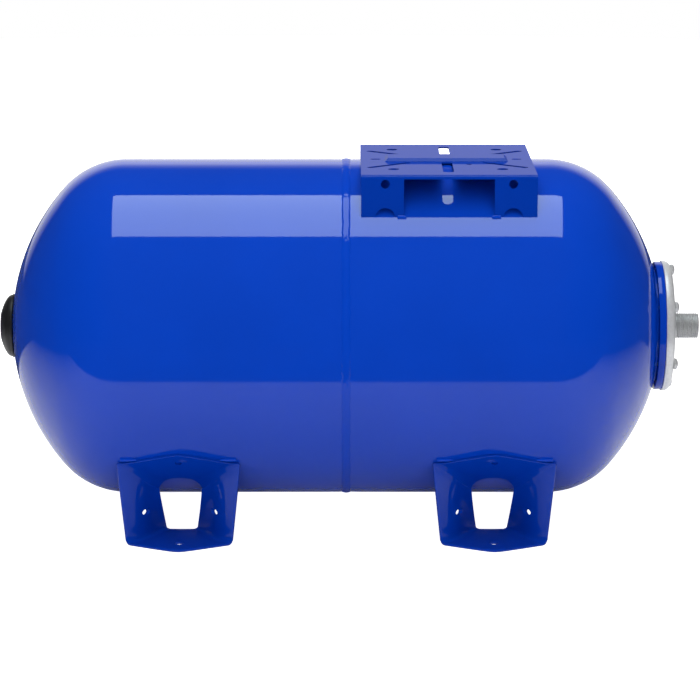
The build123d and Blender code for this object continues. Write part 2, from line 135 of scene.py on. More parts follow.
class VesselStage(bpy.types.PropertyGroup):
    """Camera and light settings."""

    distance: FloatProperty(
        name="Camera distance", description="From the lens to the tank axis",
        default=3.75, min=0.5, subtype="DISTANCE", unit="LENGTH")
    elevation: FloatProperty(
        name="Camera height angle", description="Angle of the camera above the tank axis",
        default=math.radians(11.6), subtype="ANGLE")
    lens: FloatProperty(
        name="Lens", description="Focal length", default=149.1, min=1, unit="CAMERA")
    softbox: FloatProperty(
        name="Softbox power", description="Power of the long overhead softbox",
        default=12.7, min=0, unit="POWER")
    room: FloatProperty(
        name="Room light", description="Brightness of the soft light from all round",
        default=1.95, min=0)
    floor_glow: FloatProperty(
        name="Floor glow", description="How far the floor is lifted towards white",
        default=1.0, min=0)


# ================================ mesh helpers ===================================
def deselect():
    """Leaves object mode with nothing selected."""
    if bpy.context.object and bpy.context.object.mode != "OBJECT":
        bpy.ops.object.mode_set(mode="OBJECT")
    bpy.ops.object.select_all(action="DESELECT")


def pick(obj):
    """Selects one object and makes it active."""
    deselect()
    obj.select_set(True)
    bpy.context.view_layer.objects.active = obj


def edit(obj):
    """Opens one object in edit mode with all of it selected."""
    pick(obj)
    bpy.ops.object.mode_set(mode="EDIT")
    bpy.ops.mesh.select_all(action="SELECT")


def join(piece, extra):
    """Joins another object into a piece."""
    pick(extra)
    piece.select_set(True)
    bpy.context.view_layer.objects.active = piece
    bpy.ops.object.join()


def settle(obj, name, smooth_angle=35):
    """Names a finished piece, puts its place into its mesh and smooths it."""
    pick(obj)
    obj.name = name
    obj.data.name = name
    bpy.ops.object.transform_apply(location=True, rotation=True, scale=True)
    bpy.ops.object.shade_smooth_by_angle(angle=math.radians(smooth_angle))
    return obj


def apply_modifier(obj, kind, **settings):
    """Adds a modifier with these settings and applies it."""
    pick(obj)
    modifier = obj.modifiers.new(kind.title(), kind)
    for key, value in settings.items():
        setattr(modifier, key, value)
    bpy.ops.object.modifier_apply(modifier=modifier.name)


def merge_and_face_out(obj, distance=0.00002):
    """Welds doubled points and turns the faces outward."""
    edit(obj)
    bpy.ops.mesh.remove_doubles(threshold=distance)
    bpy.ops.mesh.normals_make_consistent(inside=False)
    bpy.ops.object.mode_set(mode="OBJECT")


def lathe(outline, steps=None, closed=True):
    """Spins an outline of (x, radius) points about the tank axis."""
    steps = steps or bpy.context.scene.vessel_shape.turns
    deselect()
    bpy.ops.mesh.primitive_plane_add(size=MM, location=(0, 0, 0))
    obj = bpy.context.object
    edit(obj)
    bpy.ops.mesh.merge(type="CENTER")
    here = Vector((outline[0][0], 0, AXIS_Z + outline[0][1]))
    bpy.ops.transform.translate(value=here)
    path = list(outline[1:]) + ([outline[0]] if closed else [])
    for x, radius in path:
        there = Vector((x, 0, AXIS_Z + radius))
        bpy.ops.mesh.extrude_region_move(TRANSFORM_OT_translate={"value": there - here})
        here = there
    bpy.ops.mesh.select_all(action="SELECT")
    bpy.ops.mesh.spin(steps=steps, angle=2 * math.pi, center=AXIS_POINT, axis=(1, 0, 0))
    bpy.ops.object.mode_set(mode="OBJECT")
    merge_and_face_out(obj)
    return obj


def cylinder(radius, x0, x1, y=0.0, z=0.0, vertices=48):
    """A round bar along X, used as a cutter or as a start for a piece."""
    deselect()
    bpy.ops.mesh.primitive_cylinder_add(
        vertices=vertices, radius=radius, depth=abs(x1 - x0),
        location=((x0 + x1) / 2, y, AXIS_Z + z), rotation=(0, math.pi / 2, 0))
    return bpy.context.object


def cut(obj, cutter):
    """Takes a cutter out of a piece and deletes the cutter."""
    apply_modifier(obj, "BOOLEAN", object=cutter, operation="DIFFERENCE", solver="EXACT")
    bpy.data.objects.remove(cutter, do_unlink=True)


def arc(centre, radius, start, end, count):
    """Points on an arc in the (x, radius) plane, angles in degrees from +x."""
    points = []
    for i in range(count + 1):
        angle = math.radians(start + (end - start) * i / count)
        points.append(
            (centre[0] + radius * math.cos(angle), centre[1] + radius * math.sin(angle)))
    return points


def copy_of_node(node, name):
    """A merged copy of a CAD node's mesh, ready to be finished."""
    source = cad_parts[node]
    obj = bpy.data.objects.new(name, source.data.copy())
    bpy.context.scene.collection.objects.link(obj)
    obj.data.materials.clear()
    pick(obj)
    bpy.ops.mesh.customdata_custom_splitnormals_clear()
    edit(obj)
    bpy.ops.mesh.remove_doubles(threshold=0.000005)
    bpy.ops.mesh.dissolve_limited(angle_limit=math.radians(2))
    bpy.ops.object.mode_set(mode="OBJECT")
    return obj


def stand_for(obj, body, slot, *nodes):
    """Ties a finished piece to its body and hides the CAD nodes it stands for; the material slot is
    not used.
    """
    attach(obj, body)
    if nodes:
        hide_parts(*nodes)


def wear(obj, material):
    """Gives a piece its material."""
    obj.data.materials.clear()
    obj.data.materials.append(material)


# ================================ node groups ====================================
def new_group(name, inputs, outputs):
    """A shader node group with named sockets; returns it with its two end nodes."""
    group = bpy.data.node_groups.new(name, "ShaderNodeTree")
    for label, value in inputs:
        socket = group.interface.new_socket(label, in_out="INPUT", socket_type="NodeSocketFloat")
        socket.default_value = value
    for label, kind in outputs:
        group.interface.new_socket(label, in_out="OUTPUT", socket_type=kind)
    return group, group.nodes.new("NodeGroupInput"), group.nodes.new("NodeGroupOutput")


def feed(tree, socket, value):
    """Gives a socket a plain number, or a link from another socket."""
    if isinstance(value, (int, float)):
        socket.default_value = value
    else:
        tree.links.new(value, socket)


def math_node(tree, operation, *values):
    """A Math node fed by sockets or numbers; returns its output."""
    node = tree.nodes.new("ShaderNodeMath")
    node.operation = operation
    for socket, value in zip(node.inputs, values):
        feed(tree, socket, value)
    return node.outputs[0]


def map_range(tree, value, low, high, to_low, to_high):
    """A value carried from one range to another, clamped."""
    node = tree.nodes.new("ShaderNodeMapRange")
    limits = {"From Min": low, "From Max": high, "To Min": to_low, "To Max": to_high}
    for label, number in limits.items():
        node.inputs[label].default_value = number
    tree.links.new(value, node.inputs["Value"])
    return node.outputs["Result"]


def mix_value(tree, mask, first, second):
    """A mask's blend of two values."""
    node = tree.nodes.new("ShaderNodeMix")
    node.data_type = "FLOAT"
    tree.links.new(mask, node.inputs["Factor"])
    feed(tree, node.inputs["A"], first)
    feed(tree, node.inputs["B"], second)
    return node.outputs["Result"]


def object_place(tree):
    """Where a point lies on its piece, for a pattern to follow."""
    return tree.nodes.new("ShaderNodeTexCoord").outputs["Object"]


def split_xyz(tree, vector):
    """A vector's X, Y and Z outputs."""
    node = tree.nodes.new("ShaderNodeSeparateXYZ")
    tree.links.new(vector, node.inputs[0])
    return node.outputs


def noise_value(tree, coordinates, scale, detail=3.0, roughness=0.5):
    """A noise texture's value at these coordinates."""
    node = tree.nodes.new("ShaderNodeTexNoise")
    node.inputs["Detail"].default_value = detail
    node.inputs["Roughness"].default_value = roughness
    feed(tree, node.inputs["Scale"], scale)
    tree.links.new(coordinates, node.inputs["Vector"])
    return node.outputs["Fac"]


def surface_ripple_group():
    """Orange peel and long pressing waves, as one height."""
    group, inside, outside = new_group(
        "surface_ripple",
        [("Fine Scale", 420.0), ("Fine Height", 0.5), ("Wave Scale", 14.0), ("Wave Height", 0.5)],
        [("Height", "NodeSocketFloat")])
    place = object_place(group)
    fine = noise_value(group, place, inside.outputs["Fine Scale"], 2.0)
    wave = noise_value(group, place, inside.outputs["Wave Scale"], 1.0)
    fine = math_node(group, "MULTIPLY", fine, inside.outputs["Fine Height"])
    wave = math_node(group, "MULTIPLY", wave, inside.outputs["Wave Height"])
    group.links.new(math_node(group, "ADD", fine, wave), outside.inputs["Height"])
    return group


def dust_group():
    """A mask of settled dust: more on faces that look up, broken by noise."""
    group, inside, outside = new_group(
        "settled_dust", [("Amount", 0.3), ("Scale", 60.0)], [("Mask", "NodeSocketFloat")])
    geometry = group.nodes.new("ShaderNodeNewGeometry")
    facing = split_xyz(group, geometry.outputs["Normal"])
    up = math_node(group, "MAXIMUM", facing["Z"], 0.0)
    place = object_place(group)
    specks = noise_value(group, place, inside.outputs["Scale"], 6.0, 0.7)
    mask = math_node(group, "MULTIPLY", math_node(group, "POWER", up, 2.0), specks)
    mask = math_node(group, "MULTIPLY", mask, inside.outputs["Amount"])
    group.links.new(mask, outside.inputs["Mask"])
    return group


def edge_wear_group():
    """A mask that is strong on sharp edges, broken by noise."""
    group, inside, outside = new_group(
        "edge_wear", [("Amount", 0.5), ("Scale", 120.0)], [("Mask", "NodeSocketFloat")])
    point = group.nodes.new("ShaderNodeNewGeometry").outputs["Pointiness"]
    edge = map_range(group, point, 0.53, 0.62, 0.0, 1.0)
    place = object_place(group)
    broken = noise_value(group, place, inside.outputs["Scale"], 4.0)
    mask = math_node(group, "MULTIPLY", edge, broken)
    mask = math_node(group, "MULTIPLY", mask, inside.outputs["Amount"])
    group.links.new(mask, outside.inputs["Mask"])
    return group


def place_group(tree, group, **values):
    """Places a node group in a material with its own values."""
    node = tree.nodes.new("ShaderNodeGroup")
    node.node_tree = group
    for label, value in values.items():
        node.inputs[label.replace("_", " ").title()].default_value = value
    return node


# ================================ materials ======================================
def new_material(name, colour, roughness, metallic=0.0, **sockets):
    """A material with one Principled shader set up with plain values."""
    material = bpy.data.materials.new(name)
    material.use_nodes = True
    shader = material.node_tree.nodes["Principled BSDF"]
    shader.inputs["Base Color"].default_value = (*colour, 1)
    shader.inputs["Roughness"].default_value = roughness
    shader.inputs["Metallic"].default_value = metallic
    for label, value in sockets.items():
        shader.inputs[label.replace("_", " ")].default_value = value
    return material, material.node_tree, shader


def tint(tree, shader, base, other, mask):
    """Mixes the base colour towards another one by a mask."""
    mix = tree.nodes.new("ShaderNodeMix")
    mix.data_type = "RGBA"
    if isinstance(base, tuple):
        mix.inputs["A"].default_value = (*base, 1)
    else:
        tree.links.new(base, mix.inputs["A"])
    mix.inputs["B"].default_value = (*other, 1)
    tree.links.new(mask, mix.inputs["Factor"])
    tree.links.new(mix.outputs["Result"], shader.inputs["Base Color"])
    return mix.outputs["Result"]


def bump(tree, shader, height, strength, distance):
    """Feeds a height into the shader's normal."""
    node = tree.nodes.new("ShaderNodeBump")
    node.inputs["Strength"].default_value = strength
    node.inputs["Distance"].default_value = distance
    tree.links.new(height, node.inputs["Height"])
    tree.links.new(node.outputs["Normal"], shader.inputs["Normal"])


def rough_from(tree, shader, mask, low, high):
    """Roughness that moves from low to high with a mask."""
    tree.links.new(map_range(tree, mask, 0.0, 1.0, low, high), shader.inputs["Roughness"])


DUST_BLUE = (0.20, 0.26, 0.44)


def paint_material(name, groups, peel, waves, coat=1.0, depth=1.0, dust=0.25):
    """Gloss blue paint over pressed steel; a depth below 1 darkens the blue as painted shade."""
    paint = bpy.context.scene.vessel_paint
    # depth below 1 scales the blue down: painted shade for pieces that lie in shade, such as the
    # feet's insides and the bracket
    blue = tuple(channel * depth for channel in paint.blue)
    material, tree, shader = new_material(
        name, blue, paint.roughness, Coat_Weight=coat, Coat_Roughness=0.045, Coat_IOR=1.5,
        Specular_IOR_Level=0.0)
    place = object_place(tree)
    cloudy = noise_value(tree, place, 9.0, 3.0)
    deeper = tuple(channel * 0.86 for channel in blue)
    shade = tint(tree, shader, blue, deeper, cloudy)
    settled = place_group(tree, groups["dust"], amount=dust).outputs["Mask"]
    tint(tree, shader, shade, DUST_BLUE, math_node(tree, "MULTIPLY", settled, 0.10))
    rough_from(tree, shader, settled, paint.roughness, paint.roughness + 0.18)
    ripple = place_group(
        tree, groups["ripple"], fine_scale=520.0, fine_height=peel,
        wave_scale=11.0, wave_height=waves)
    bump(tree, shader, ripple.outputs["Height"], 0.5, 0.4 * MM)
    return material


def zinc_material(name, groups, colour, roughness, spangle):
    """Pale zinc plating with a soft, uneven sheen."""
    material, tree, shader = new_material(name, colour, roughness, metallic=0.45)
    place = object_place(tree)
    cells = tree.nodes.new("ShaderNodeTexVoronoi")
    cells.inputs["Scale"].default_value = spangle
    tree.links.new(place, cells.inputs["Vector"])
    cloudy = noise_value(tree, place, 40.0, 5.0, 0.6)
    mask = math_node(tree, "MULTIPLY", cells.outputs["Distance"], cloudy)
    tint(tree, shader, colour, tuple(c * 0.72 for c in colour), mask)
    rough_from(tree, shader, cloudy, roughness - 0.08, roughness + 0.14)
    ripple = place_group(
        tree, groups["ripple"], fine_scale=900.0, fine_height=0.35,
        wave_scale=60.0, wave_height=0.2)
    bump(tree, shader, ripple.outputs["Height"], 0.35, 0.12 * MM)
    return material


def turned_material(name, colour, roughness, scale, metallic=1.0):
    """Turned metal: fine rings about the tank axis."""
    material, tree, shader = new_material(name, colour, roughness, metallic=metallic)
    place = object_place(tree)
    stretch = tree.nodes.new("ShaderNodeMapping")
    stretch.inputs["Scale"].default_value = (scale, 6.0, 6.0)
    tree.links.new(place, stretch.inputs["Vector"])
    rings = noise_value(tree, stretch.outputs["Vector"], 3.0, 4.0)
    tint(tree, shader, colour, tuple(c * 0.6 for c in colour), rings)
    rough_from(tree, shader, rings, roughness - 0.06, roughness + 0.16)
    bump(tree, shader, rings, 0.25, 0.08 * MM)
    return material


def moulded_material(name, groups, colour, roughness, grain):
    """Moulded plastic or rubber with a fine grain and scuffed edges."""
    material, tree, shader = new_material(name, colour, roughness)
    worn = place_group(tree, groups["edge"], amount=0.5)
    tint(tree, shader, colour, tuple(0.05 + c * 2 for c in colour), worn.outputs["Mask"])
    place = object_place(tree)
    cloudy = noise_value(tree, place, 55.0, 5.0)
    rough_from(tree, shader, cloudy, roughness - 0.1, roughness + 0.1)
    ripple = place_group(
        tree, groups["ripple"], fine_scale=grain, fine_height=0.6, wave_scale=30.0, wave_height=0.2)
    bump(tree, shader, ripple.outputs["Height"], 0.4, 0.08 * MM)
    return material


def build_materials():
    """Builds every material once and returns them by name."""
    paint = bpy.context.scene.vessel_paint
    groups = {"ripple": surface_ripple_group(), "dust": dust_group(), "edge": edge_wear_group()}
    return {
        "shell": paint_material("shell_paint", groups, paint.peel, 0.25),
        # The sheet and bracket copies are the same blue paint darkened by depth: painted shade on
        # the feet, flange ring, valve boss and bracket
        "sheet": paint_material(
            "pressed_sheet_paint_with_painted_shade", groups, paint.peel * 2, 1.6, coat=0.7, depth=0.8),
        "bracket": paint_material(
            "bracket_paint_with_painted_shade", groups, paint.peel * 3, 3.0, coat=0.3, depth=0.72),
        "weld": paint_material("weld_paint", groups, paint.peel * 6, 3.0, coat=0.6),
        "zinc": zinc_material("zinc_plate", groups, tuple(paint.zinc), 0.34, 260.0),
        "bolt": zinc_material("bolt_zinc", groups, (0.66, 0.67, 0.68), 0.30, 500.0),
        "nipple": turned_material("nipple_steel", (0.74, 0.75, 0.76), 0.30, 420.0, metallic=0.6),
        "brass": turned_material("valve_brass", (0.72, 0.55, 0.26), 0.26, 700.0),
        "pin": turned_material("pin_steel", (0.62, 0.62, 0.62), 0.22, 700.0),
        "black": moulded_material("cover_plastic", groups, tuple(paint.black), 0.38, 1500.0),
        "rubber": moulded_material("black_rubber", groups, (0.016, 0.016, 0.016), 0.62, 900.0),
    }


MATERIALS = {}


def material(name):
    """A material by its short name, built on first use."""
    if not MATERIALS:
        MATERIALS.update(build_materials())
    return MATERIALS[name]


# ================================ tank ===========================================
def head_outline(opening_r):
    """Outline of the +X half from the seam over the knuckle to the opening."""
    draw = bpy.context.scene.vessel_shape.seam_pull
    crown_centre = (APEX_X - CROWN_R, 0.0)
    knuckle_centre = (CYLINDER_END_X, SHELL_R - KNUCKLE_R)
    join = math.degrees(math.atan2(knuckle_centre[1], knuckle_centre[0] - crown_centre[0]))
    points = []
    for step in RINGS_NEAR_SEAM:
        x = SEAM_X + step * MM
        points.append((x, SHELL_R - draw * math.exp(-((step / DRAW_REACH) ** 2))))
    straight = CYLINDER_END_X - SEAM_X - SEAM_ZONE
    for i in range(1, 9):
        points.append((SEAM_X + SEAM_ZONE + straight * i / 9, SHELL_R))
    points += arc(knuckle_centre, KNUCKLE_R, 90, join, 22)
    last = math.degrees(math.asin(opening_r / CROWN_R))
    points += arc(crown_centre, CROWN_R, join, last, 24)[1:]
    return points


class VESSEL_OT_shell(bpy.types.Operator):
    """Spins the two drawn halves of the tank."""

    bl_idname = "vessel.shell"
    bl_label = "Tank shell"

    def execute(self, context):
        for side, opening, node in ((1, COLLAR_OPENING_R, "right"), (-1, BOSS_R, "left")):
            outline = head_outline(opening)
            if side < 0:
                zone_end = SEAM_X + SEAM_ZONE + 1 * MM
                outline = [(2 * SEAM_X - x if x < zone_end else -x, r) for x, r in outline]
            shell = lathe(outline, closed=False)
            face = shell.data.polygons[0]
            if face.normal.dot(face.center - AXIS_POINT) < 0:
                edit(shell)
                bpy.ops.mesh.flip_normals()
                bpy.ops.object.mode_set(mode="OBJECT")
            apply_modifier(shell, "SOLIDIFY", thickness=SHELL_WALL, offset=-1)
            settle(shell, f"shell_{node}", 40)
            wear(shell, material("shell"))
            stand_for(shell, "root", "tank_paint", f"tank_shell_{node}")
        return {"FINISHED"}


WELD_HALF = 5.6 * MM
WELD_RISE = 1.5 * MM
WELD_SINK = 0.5 * MM
WELD_ROOT = 1.0 * MM
RIPPLE_SCALE = 40
LUMP_R = 5 * MM


class VESSEL_OT_seam(bpy.types.Operator):
    """Lays the weld bead round the middle, wandering a little like a real one."""

    bl_idname = "vessel.seam"
    bl_label = "Seam weld"

    def execute(self, context):
        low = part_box("seam_weld")[0]
        ripple = context.scene.vessel_shape.seam_ripple
        outline = []
        for i in range(13):
            across = -1 + i / 6
            crown = math.cos(across * math.pi / 2) ** 0.6 if abs(across) < 1 else 0
            outline.append((SEAM_X + WELD_HALF * across, SHELL_R - WELD_SINK + WELD_RISE * crown))
        root_r = SHELL_R - WELD_ROOT
        outline += [(SEAM_X + WELD_HALF, root_r), (SEAM_X - WELD_HALF, root_r)]
        weld = lathe(outline, steps=720)
        for vertex in weld.data.vertices:
            place = vertex.co
            angle = math.atan2(place.y, place.z - AXIS_Z)
            ring = Vector((math.sin(angle), math.cos(angle), 0)) * RIPPLE_SCALE
            across = (place.x - SEAM_X) / WELD_HALF
            radius = math.hypot(place.y, place.z - AXIS_Z)
            if radius < SHELL_R - 0.9 * WELD_ROOT:
                continue
            edge = noise.noise(ring * 0.9 + Vector((0, 0, 4 * (1 if across > 0 else -1))))
            fine = noise.noise(ring * 3.1 + Vector((across * 2, 0, 9)))
            sway = noise.noise(ring * 0.25)
            place.x += ripple * (1.1 * edge + 0.4 * fine) * abs(across) + ripple * 0.4 * sway
            lift = 0.35 * ripple * fine * max(0, 1 - across * across)
            scale = (radius + lift) / radius
            place.y *= scale
            place.z = AXIS_Z + (place.z - AXIS_Z) * scale
        deselect()
        bpy.ops.mesh.primitive_uv_sphere_add(
            segments=32, ring_count=20, radius=LUMP_R,
            location=(SEAM_X - 4 * MM, 0, low.z + LUMP_R))
        lump = bpy.context.object
        lump.scale = (1.15, 0.9, 1.0)
        join(weld, lump)
        settle(weld, "seam_bead", 60)
        wear(weld, material("weld"))
        stand_for(weld, "root", "tank_paint", "seam_weld")
        return {"FINISHED"}


# ================================ water end ======================================
def drill(obj, radius, x0, x1, circle=0.0, count=1):
    """Drills round holes along X, on a circle about the axis if one is given."""
    for i in range(count):
        angle = 2 * math.pi * i / count
        cut(obj, cylinder(radius, x0, x1, circle * math.sin(angle), circle * math.cos(angle)))


class VESSEL_OT_water_end(bpy.types.Operator):
    """Turns the collar, the counter flange and the domed zinc flange."""

    bl_idname = "vessel.water_end"
    bl_label = "Water flange"

    def execute(self, context):
        floor = COLLAR_LOW.x + 2.5 * MM
        rim_x = APEX_X - CROWN_R + math.sqrt(CROWN_R**2 - COLLAR_OPENING_R**2) + 0.4 * MM
        bore_r, groove_r, wall_r = 69.5 * MM, 72 * MM, 78 * MM
        collar = lathe([
            (COLLAR_LOW.x, bore_r), (COLLAR_HIGH.x, bore_r), (COLLAR_HIGH.x, groove_r),
            (floor + 1 * MM, groove_r), (floor, groove_r + 1 * MM), (floor, wall_r - 1 * MM),
            (floor + 1 * MM, wall_r), (rim_x - 1 * MM, wall_r), (rim_x, wall_r + 1 * MM),
            (rim_x - 0.4 * MM, wall_r + 2.6 * MM), (COLLAR_LOW.x, wall_r + 1.9 * MM)])
        settle(collar, "neck_collar_ring", 30)
        wear(collar, material("weld"))
        stand_for(collar, "root", "tank_paint", "neck_collar")

        radius = (RING_HIGH.z - RING_LOW.z) / 2
        bevel, ring_bore_r = 0.9 * MM, 62 * MM
        x0, x1 = RING_LOW.x, RING_HIGH.x
        outline = [(x0, ring_bore_r), (x0, radius - bevel)]
        outline += [(x0 + bevel * 0.3, radius - bevel * 0.3)]
        outline += [(x0 + bevel, radius), (x1 - bevel, radius)]
        outline += [(x1 - bevel * 0.3, radius - bevel * 0.3), (x1, radius - bevel)]
        outline += [(x1, ring_bore_r)]
        ring = lathe(outline)
        drill(ring, TAPPED_HOLE_R, x0 - DRILL_PAST, x1 + DRILL_PAST, BOLT_CIRCLE_R, BOLT_COUNT)
        settle(ring, "counter_flange_ring", 30)
        wear(ring, material("sheet"))
        stand_for(ring, "root", "tank_paint", "counter_flange")

        radius = (PLATE_HIGH.z - PLATE_LOW.z) / 2
        face, back, sheet = PLATE_HIGH.x, PLATE_LOW.x, 3 * MM
        corner, plate_bore_r, dome_r = 8 * MM, 14.2 * MM, 46 * MM
        outline = [(face - 1.0 * MM, plate_bore_r), (face - 0.6 * MM, 30 * MM)]
        outline += [(face, dome_r), (face, 60 * MM)]
        outline += arc((face - corner, radius - corner), corner, 90, 0, 10)[::-1]
        outline += [(back + 0.6 * MM, radius), (back, radius - 0.6 * MM), (back, radius - sheet)]
        outline += arc((face - corner, radius - corner), corner - sheet, 90, 0, 8)
        outline += [(face - sheet, dome_r), (face - sheet - 0.4 * MM, plate_bore_r)]
        plate = lathe(outline)
        drill(plate, CLEAR_HOLE_R, back - DRILL_PAST, face + DRILL_PAST, BOLT_CIRCLE_R, BOLT_COUNT)
        settle(plate, "zinc_flange", 30)
        wear(plate, material("zinc"))
        stand_for(plate, "root", "zinc_plate", "flange_plate")
        return {"FINISHED"}


def hex_bolt():
    """One flange bolt with a chamfered head, at the top of the bolt circle."""
    x0 = BOLTS_HIGH.x - BOLT_HEAD_H
    corner_r = BOLT_AF / math.sqrt(3)
    head = cylinder(corner_r, x0, BOLTS_HIGH.x, 0, BOLT_CIRCLE_R, 6)
    pick(head)
    bpy.ops.object.transform_apply(location=True, rotation=True, scale=True)
    ball = 12.2 * MM
    deselect()
    bpy.ops.mesh.primitive_uv_sphere_add(
        segments=96, ring_count=64, radius=ball,
        location=(BOLTS_HIGH.x - ball + 0.35 * MM, 0, AXIS_Z + BOLT_CIRCLE_R),
        rotation=(0, math.pi / 2, 0))
    dome = bpy.context.object
    apply_modifier(head, "BOOLEAN", object=dome, operation="INTERSECT", solver="EXACT")
    bpy.data.objects.remove(dome, do_unlink=True)
    apply_modifier(head, "BEVEL", width=0.25 * MM, segments=2, limit_method="ANGLE",
                   angle_limit=math.radians(30))
    shank = cylinder(4 * MM, BOLTS_LOW.x, x0 + 0.2 * MM, 0, BOLT_CIRCLE_R, 32)
    join(head, shank)
    return head


class VESSEL_OT_bolts(bpy.types.Operator):
    """Copies one hexagon bolt round the bolt circle."""

    bl_idname = "vessel.bolts"
    bl_label = "Flange bolts"

    def execute(self, context):
        first = hex_bolt()
        bolts = [first]
        for i in range(1, BOLT_COUNT):
            bolt = bpy.data.objects.new("bolt", first.data.copy())
            context.scene.collection.objects.link(bolt)
            turn = Matrix.Rotation(math.radians(360 * i / BOLT_COUNT), 4, "X")
            to_axis = Matrix.Translation(-AXIS_POINT)
            bolt.data.transform(Matrix.Translation(AXIS_POINT) @ turn @ to_axis)
            bolts.append(bolt)
        for i, bolt in enumerate(bolts):
            settle(bolt, f"flange_bolt_{i + 1}", 25)
            wear(bolt, material("bolt"))
            stand_for(bolt, "root", "bolt_zinc")
        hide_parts("flange_bolts")
        return {"FINISHED"}


class VESSEL_OT_nipple(bpy.types.Operator):
    """Turns the water nipple and cuts its helical thread."""

    bl_idname = "vessel.nipple"
    bl_label = "Water nipple"

    def execute(self, context):
        pitch = context.scene.vessel_shape.thread_pitch
        depth = pitch * 0.6
        hub_r, thread_r, bore_r = 20.2 * MM, 16.6 * MM, 12.5 * MM
        end = NIPPLE_HIGH.x
        face = PLATE_HIGH.x - 1 * MM
        hub_end = 437 * MM
        start = hub_end + 1.2 * MM
        collar_r, neck_r, root = 24 * MM, 14 * MM, thread_r - depth
        back = face - 2.2 * MM
        outline = [(NIPPLE_LOW.x, bore_r), (NIPPLE_LOW.x, collar_r), (back, collar_r)]
        outline += [(back, neck_r), (face, neck_r), (face + 0.1 * MM, hub_r + 2 * MM)]
        outline += [(face + 1.2 * MM, hub_r + 0.7 * MM), (face + 2.6 * MM, hub_r)]
        outline += [(hub_end - 0.8 * MM, hub_r), (hub_end, hub_r - 0.8 * MM)]
        outline += [(hub_end, root), (start, root)]
        rows = 150
        step = (end - 0.3 * MM - start) / rows
        outline += [(start + step * i, thread_r) for i in range(1, rows)]
        outline += [(end, thread_r - 1.5 * MM), (end, bore_r + 0.6 * MM), (end - 0.6 * MM, bore_r)]
        nipple = lathe(outline, steps=96)
        for vertex in nipple.data.vertices:
            place = vertex.co
            radius = math.hypot(place.y, place.z - AXIS_Z)
            if place.x <= start or radius < thread_r - 0.1 * MM:
                continue
            angle = math.atan2(place.y, place.z - AXIS_Z) / (2 * math.pi)
            phase = ((place.x - start) / pitch - angle) % 1
            tooth = abs(2 * phase - 1)
            tooth = min(max((tooth - 0.12) / 0.76, 0), 1)
            wanted = root + depth * tooth
            lead = min(1, (end - place.x) / (1.6 * MM))
            wanted = min(wanted, thread_r - 1.5 * MM * (1 - lead))
            place.y *= wanted / radius
            place.z = AXIS_Z + (place.z - AXIS_Z) * wanted / radius
        settle(nipple, "threaded_nipple", 30)
        wear(nipple, material("nipple"))
        stand_for(nipple, "root", "nipple_steel", "water_nipple")
        return {"FINISHED"}


# ================================ valve end ======================================
class VESSEL_OT_valve_cover(bpy.types.Operator):
    """Turns the black cover, with its rolled rim and soft edges."""

    bl_idname = "vessel.valve_cover"
    bl_label = "Valve cover"

    def execute(self, context):
        rim = (COVER_HIGH.z - COVER_LOW.z) / 2
        face, base, wall = COVER_LOW.x, COVER_HIGH.x, 1.8 * MM
        face_r, sleeve_r, outer_r = 19 * MM, 16.06 * MM, 17.7 * MM
        sleeve_end = base - 2.1 * MM
        shoulder = []
        for i in range(17):
            rise = i / 16
            x = base - 3.2 * MM - (base - 3.2 * MM - face) * rise
            radius = rim - 1.0 * MM - (rim - 1.0 * MM - face_r) * rise**2.2
            shoulder.append((x, radius))
        outline = [(base, rim - 0.5 * MM), (base - 0.5 * MM, rim), (base - 2.6 * MM, rim)]
        outline += [(base - 3.1 * MM, rim - 0.4 * MM)] + shoulder
        outline += [(face, 8 * MM), (face + 0.15 * MM, 6 * MM), (face + 0.15 * MM, 0.4 * MM)]
        outline += [(face + wall, 0.4 * MM), (face + wall, sleeve_r), (sleeve_end, sleeve_r)]
        outline += [(sleeve_end, outer_r), (face + wall, outer_r)]
        inner = [(x + wall, r - wall) for x, r in shoulder[::-1] if r - wall > 18.4 * MM]
        outline += inner + [(base - 1.5 * MM, rim - 2.3 * MM), (base, rim - 2.3 * MM)]
        cover = lathe(outline, steps=128)
        pick(cover)
        bpy.ops.object.mode_set(mode="EDIT")
        bpy.ops.mesh.select_all(action="DESELECT")
        bpy.ops.mesh.select_non_manifold()
        bpy.ops.mesh.edge_face_add()
        bpy.ops.object.mode_set(mode="OBJECT")
        settle(cover, "black_valve_cover", 30)
        wear(cover, material("black"))
        stand_for(cover, "valve_cover", "cap_plastic", "valve_cover")
        return {"FINISHED"}


# ================================ feet ===========================================
FOOT_SHEET = 3.0 * MM
FOOT_X = (FOOT_LOW.x + FOOT_HIGH.x) / 2
FOOT_TOP_HALF = (FOOT_HIGH.x - FOOT_LOW.x) / 2
FOOT_BASE_HALF = 66.5 * MM
FOOT_CORNER_Y = 164 * MM
FOOT_TIP_Y = -FOOT_LOW.y
SADDLE_TIP_Y = 175.5 * MM
WINDOW_Y = 97 * MM
WINDOW_BASE_HALF = 20 * MM
WINDOW_TOP_HALF = 28 * MM
SADDLE_INNER_Y = 124 * MM
SADDLE_ARCH_Y = 138 * MM
SIDE_HEIGHT = 108 * MM
BULGE = 0.13
SAG = 0.10
CREASE_RISE = 3.0 * MM
CREASE_SHARPNESS = 24
FLOOR_HOLE_R, FLOOR_HOLE_Y = 6 * MM, 165 * MM
SMALL_HOLE_R = 4 * MM
SADDLE_HOLE_INSET = 12 * MM
SIDE_HOLE_X, SIDE_HOLE_Y, SIDE_HOLE_Z = 50 * MM, 140 * MM, 36 * MM


